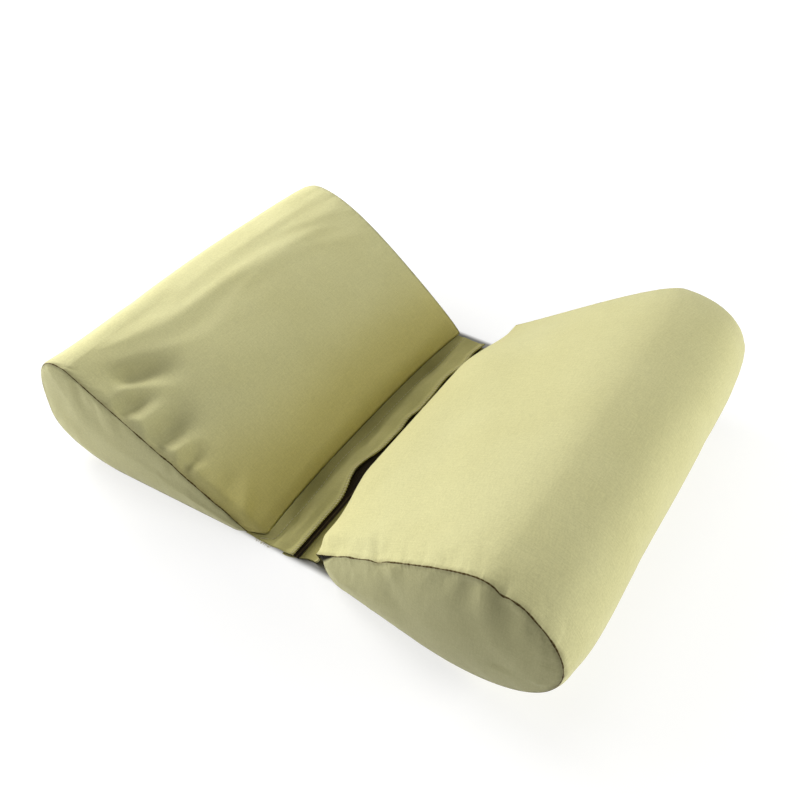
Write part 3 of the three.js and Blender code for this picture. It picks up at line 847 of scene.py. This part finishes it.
def hook_rows():
    """Small bent hooks on the part of the strip that the left flap leaves bare."""
    random = np.random.default_rng(11)
    top = FLAP_THICKNESS + GAP + HOOK_THICKNESS
    paths = []
    inset = HOOK_STRIP.inset + 0.6
    for y in np.arange(FLAPS_FRONT + inset, FLAPS_BACK - inset, HOOKS.pitch):
        right = drifted(HOOK_STRIP, y) + HOOK_STRIP.width - 0.9
        edge = left_flap_line(y, np.array((1.0,)))[0, 0]
        for x in np.arange(right, max(edge + 0.7, right - HOOKS.margin), -HOOKS.pitch):
            spot = np.array((x, y, top)) + np.append(random.uniform(-0.15, 0.15, 2), 0)
            lean = random.choice((-1, 1)) * 0.35
            height = HOOKS.height * random.uniform(0.85, 1.1)
            bend = (
                (0, 0, -0.15), (0, 0, 0.6 * height), (0, 0.45 * lean, height), (0, lean, 0.75 * height))
            paths.append((spot + np.array(bend), HOOKS.radius))
    return join_tubes(paths, HOOKS.sides)


# Materials

class Nodes:
    """Short calls for building a material's nodes. In the names of inputs, _ stands for a space."""

    def __init__(self, name):
        self.material = bpy.data.materials.new(name)
        self.material.use_nodes = True
        self.tree = self.material.node_tree
        self.shader = self.tree.nodes["Principled BSDF"]

    def connect(self, value, socket):
        """Links an output to a socket, or sets the socket to a number or colour."""
        if isinstance(value, bpy.types.NodeSocket):
            self.tree.links.new(value, socket)
        elif socket.type == "RGBA":
            socket.default_value = (*value, 1)
        else:
            socket.default_value = value

    def feed(self, node, **inputs):
        for key, value in inputs.items():
            self.connect(value, node.inputs[key.replace("_", " ")])

    def node(self, kind, **inputs):
        node = self.tree.nodes.new("ShaderNode" + kind)
        self.feed(node, **inputs)
        return node

    def uv(self, name):
        node = self.node("UVMap")
        node.uv_map = name
        return node.outputs["UV"]

    def place(self):
        return self.node("TexCoord").outputs["Object"]

    def split(self, vector):
        return self.node("SeparateXYZ", Vector=vector).outputs

    def noise(self, place, scale, detail=2.0, roughness=0.5):
        node = self.node("TexNoise", Vector=place, Scale=scale, Detail=detail, Roughness=roughness)
        return node.outputs["Fac"]

    def stretch(self, place, x, y):
        return self.node("Mapping", Vector=place, Scale=(x, y, 1)).outputs["Vector"]

    def remap(self, value, start, stop, low, high, smooth=False):
        node = self.node("MapRange", Value=value, From_Min=start, From_Max=stop, To_Min=low, To_Max=high)
        node.interpolation_type = "SMOOTHSTEP" if smooth else "LINEAR"
        return node.outputs["Result"]

    def math(self, operation, *values, kind="Math", output=0):
        """A calculation, for colours and places where the kind is VectorMath."""
        node = self.node(kind)
        node.operation = operation
        for value, socket in zip(values, node.inputs):
            if value is not None:
                self.connect(value, socket)
        return node.outputs[output]

    def sine(self, distance, pitch):
        return self.math("SINE", self.math("MULTIPLY", distance, 2 * math.pi / pitch))

    def mix(self, factor, first, second):
        node = self.node("Mix")
        node.data_type = "RGBA"
        for value, socket in zip((factor, first, second), ("Factor", 6, 7)):
            self.connect(value, node.inputs[socket])
        return node.outputs[2]

    def brighten(self, colour, factor):
        return self.math("SCALE", colour, None, None, factor, kind="VectorMath")

    def bump(self, height, depth, strength, **below):
        node = self.node("Bump", Height=height, Strength=strength, Distance=depth, **below)
        return node.outputs["Normal"]


def cloth_material(name, colour, shade, hemmed):
    """Plain-woven cloth with uneven yarns, dark seams with painted shade in and beside them, a faint
    sheen, and stitches along a hem.
    """
    nodes = Nodes(name)
    cloth, seam_run, place = nodes.uv("cloth"), nodes.uv("seam_run"), nodes.place()
    across, along = YARN_SCALES.across, YARN_SCALES.along
    weave = nodes.math("MULTIPLY", *(nodes.sine(nodes.split(cloth)[axis], WEAVE_PITCH) for axis in "XY"))
    yarns = nodes.math("ADD", nodes.noise(nodes.stretch(cloth, across, along), 1.0),
                       nodes.noise(nodes.stretch(cloth, along, across), 1.0))
    tone = nodes.mix(nodes.remap(nodes.noise(place, 14.0, 3.0, 0.55), 0.35, 0.65, 0, 1), shade, colour)
    tone = nodes.brighten(tone, nodes.remap(yarns, 0.7, 1.3, 0.955, 1.045))
    tone = nodes.brighten(tone, nodes.remap(nodes.noise(place, 900.0, 1.0), 0.3, 0.7, 0.95, 1.05))

    # The seam line is stitching with painted shade in its groove; beside it lies a patchy painted shadow.
    seam = nodes.split(seam_run)
    run, away = seam["X"], seam["Y"]
    ragged = nodes.remap(nodes.noise(place, 170.0, 3.0), 0.3, 0.7, -SEAM_LINE.ragged, SEAM_LINE.ragged)
    line = nodes.remap(
        nodes.math("ADD", away, ragged), SEAM_LINE.full, SEAM_LINE.gone, 1, 0, smooth=True)
    dashes = nodes.remap(nodes.sine(run, STITCH_PITCH), -0.8, 0.2, 0.9, 1)
    patchy = nodes.remap(nodes.noise(place, 60.0), 0.35, 0.65, SEAM_SHADOW.least, SEAM_SHADOW.most)
    shadow = nodes.math("MULTIPLY", nodes.remap(away, 0.0, SEAM_SHADOW.width, 1, 0, smooth=True), patchy)
    dark = nodes.math("MAXIMUM", nodes.math("MULTIPLY", line, dashes), shadow)
    tone = nodes.mix(dark, tone, SEAM_DARK)
    if hemmed:
        hem = nodes.math("ABSOLUTE", nodes.math("SUBTRACT", away, HEM_STITCH.away))
        hem = nodes.remap(hem, HEM_STITCH.half * 0.5, HEM_STITCH.half, 1, 0, smooth=True)
        ticks = nodes.remap(nodes.sine(run, HEM_STITCH.pitch), -0.2, 0.5, 0.15, 0.8)
        tone = nodes.mix(nodes.math("MULTIPLY", hem, ticks), tone, SEAM_DARK)

    # The tone attribute is painted light: shade in the seam gaps, shade in the puckers and on the end
    # panels, and warm bounce light low in the trough.
    painted_light = nodes.node("Attribute")
    painted_light.attribute_name = "tone"
    parts = nodes.split(painted_light.outputs["Vector"])
    tone = nodes.brighten(tone, nodes.remap(parts["Y"], 0, 1, 1, 1 - PAINTED_SHADE_STRENGTH))
    tint = nodes.mix(parts["Z"], (1.0, 1.0, 1.0), BOUNCE_LIGHT_TINT)
    tone = nodes.math("MULTIPLY", tone, tint, kind="VectorMath")
    tone = nodes.mix(parts["X"], tone, GAP_PAINTED_SHADE)

    pulls = nodes.math("MULTIPLY", nodes.remap(away, 0.0, SEAM_PULLS, 1, 0, smooth=True),
                       nodes.noise(nodes.stretch(seam_run, 300, 60), 1.0))
    normal = nodes.bump(pulls, 0.0012, 0.6)
    normal = nodes.bump(nodes.noise(place, 90.0, 4.0), 0.0008, 0.25, Normal=normal)
    normal = nodes.bump(yarns, 0.00025, 0.28, Normal=normal)
    normal = nodes.bump(weave, 0.00005, 0.25, Normal=normal)
    nodes.feed(nodes.shader, Base_Color=tone, Roughness=nodes.remap(yarns, 0.7, 1.3, 0.95, 0.78),
               Normal=normal, Sheen_Weight=0.25, Sheen_Roughness=0.4, Sheen_Tint=(1.0, 0.99, 0.86),
               Specular_IOR_Level=0.1)
    return nodes.material


def hook_material():
    """Dark brown tape with a rib pattern and a paler woven edge."""
    nodes = Nodes("hook_tape")
    cloth = nodes.uv("cloth")
    split = nodes.split(cloth)
    fuzz = nodes.noise(nodes.stretch(cloth, 900, 900), 1.0, 3.0)
    from_edge = nodes.math("ABSOLUTE", nodes.math("SUBTRACT", split["X"], HOOK_EDGE.at))
    edge = nodes.remap(from_edge, HOOK_EDGE.full, HOOK_EDGE.gone, 1, 0, smooth=True)
    tone = nodes.mix(fuzz, *HOOK_COLOURS)
    tone = nodes.mix(nodes.math("MULTIPLY", edge, HOOK_EDGE.share), tone, HOOK_EDGE.colour)
    normal = nodes.bump(nodes.sine(split["Y"], RIB_PITCH), 0.0003, 0.6)
    normal = nodes.bump(fuzz, 0.0005, 0.7, Normal=normal)
    nodes.feed(nodes.shader, Base_Color=tone, Roughness=nodes.remap(fuzz, 0.3, 0.7, 0.95, 0.7),
               Normal=normal, Sheen_Weight=0.1, Specular_IOR_Level=0.3)
    return nodes.material


def thread_material():
    nodes = Nodes("sewing_thread")
    twist = nodes.noise(nodes.place(), 2500.0, 1.0)
    nodes.feed(nodes.shader, Base_Color=nodes.mix(twist, *THREAD_COLOURS),
               Roughness=nodes.remap(twist, 0.3, 0.7, 0.6, 0.8), Normal=nodes.bump(twist, 0.0001, 0.6))
    return nodes.material


def paper_material():
    """White paper that glows, but for a patch in the middle."""
    nodes = Nodes("white_paper")
    place = nodes.place()
    shade = FLOOR.colour
    split = nodes.split(place)
    lit = [
        nodes.remap(nodes.math("ABSOLUTE", split[axis]), stop, stop + FLOOR.edge, 0, 1, smooth=True)
        for axis, stop in (("X", FLOOR.dark_x), ("Y", FLOOR.dark_y))]
    away = nodes.math("LENGTH", place, kind="VectorMath", output=1)
    glow = nodes.remap(away, FLOOR.near, FLOOR.far, FLOOR.glow, FLOOR.far_glow, smooth=True)
    nodes.feed(nodes.shader,
               Base_Color=nodes.mix(nodes.noise(place, 3.0), (shade,) * 3, (shade + 0.01,) * 3),
               Roughness=0.9, Specular_IOR_Level=0.1, Emission_Color=(1, 1, 1),
               Emission_Strength=nodes.math("MULTIPLY", glow, nodes.math("MAXIMUM", *lit)))
    return nodes.material


# Camera, lights and floor

def add_camera():
    azimuth, elevation = math.radians(CAMERA_AZIMUTH), math.radians(CAMERA_ELEVATION)
    level = math.cos(elevation)
    back = Vector((math.sin(azimuth) * level, -math.cos(azimuth) * level, math.sin(elevation)))
    right = Vector((math.cos(azimuth), math.sin(azimuth), 0))
    data = bpy.data.cameras.new("camera")
    data.sensor_width = SENSOR
    data.lens = FOCAL_PIXELS / PHOTO_PIXELS * SENSOR
    data.clip_start = 0.01
    camera = bpy.data.objects.new("camera", data)
    turn = Matrix((right, back.cross(right), back)).transposed().to_4x4()
    camera.matrix_world = Matrix.Translation(Vector(to_frame(CAMERA_AT))) @ turn
    bpy.context.scene.collection.objects.link(camera)
    bpy.context.scene.camera = camera


def add_light(name, at, size, brightness, colour):
    data = bpy.data.lights.new(name, "AREA")
    data.shape = "DISK"
    data.size = size
    data.energy = brightness * (math.pi * Vector(at).length) ** 2
    data.color = colour
    lamp = bpy.data.objects.new(name, data)
    lamp.location = at
    lamp.rotation_euler = Vector(at).to_track_quat("Z", "Y").to_euler()
    bpy.context.scene.collection.objects.link(lamp)


def add_surroundings():
    world = bpy.data.worlds.new("studio")
    world.use_nodes = True
    background = world.node_tree.nodes["Background"].inputs
    background["Color"].default_value = (1, 1, 1, 1)
    background["Strength"].default_value = WORLD_STRENGTH
    bpy.context.scene.world = world
    side = FLOOR.half_side
    corners = [(-side, -side, 0), (side, -side, 0), (side, side, 0), (-side, side, 0)]
    floor = new_mesh_object("floor", corners, [(0, 1, 2, 3)])
    floor.data.materials.append(paper_material())
    for name, facts in LIGHTS.items():
        add_light(name, **facts)
    bpy.context.scene.view_settings.view_transform = "Standard"


def dress(piece, material, slot_name, *nodes):
    piece.data.materials.clear()
    piece.data.materials.append(material)
    if nodes:
        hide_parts(*nodes)
    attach(piece, "root")


add_camera()
add_surroundings()

wedge_cloth = cloth_material("wedge_cloth", *WEDGE_COLOURS, hemmed=False)
# A copy of the wedges' cloth with painted shade and bounce light in its colours.
flap_cloth = cloth_material("flap_cloth", *FLAP_SHADED_COLOURS, hemmed=True)
hook_tape = hook_material()
thread = thread_material()

for wedge_name, wedge_sizes in WEDGES.items():
    cover = make_wedge(wedge_name, wedge_sizes)
    dress(cover, wedge_cloth, "wedge_cloth", wedge_name)

left_flap = make_sheet("left_flap_cloth", sheet_mesh(left_flap_line, FLAP_THICKNESS, 0.0, FLAP_STEPS))
dress(left_flap, flap_cloth, "flap_cloth", "left_flap")
right_flap = make_sheet("right_flap_cloth", right_flap_mesh())
dress(right_flap, flap_cloth, "flap_cloth", "right_flap")
hooks = make_sheet("hook_tape", sheet_mesh(hook_line, HOOK_THICKNESS, HOOK_STRIP.inset, HOOK_STEPS))
dress(hooks, hook_tape, "hook_tape", "hook_strip")

stitch_points, stitch_faces = flap_stitches()
stitches = new_mesh_object("flap_stitches", to_frame(stitch_points), stitch_faces)
dress(stitches, thread, "flap_cloth")
hook_points, hook_faces = hook_rows()
bristles = new_mesh_object("hook_bristles", to_frame(hook_points), hook_faces, hook_faces,
                           (("cloth", hook_points[:, :2] * MM),))
dress(bristles, hook_tape, "hook_tape")
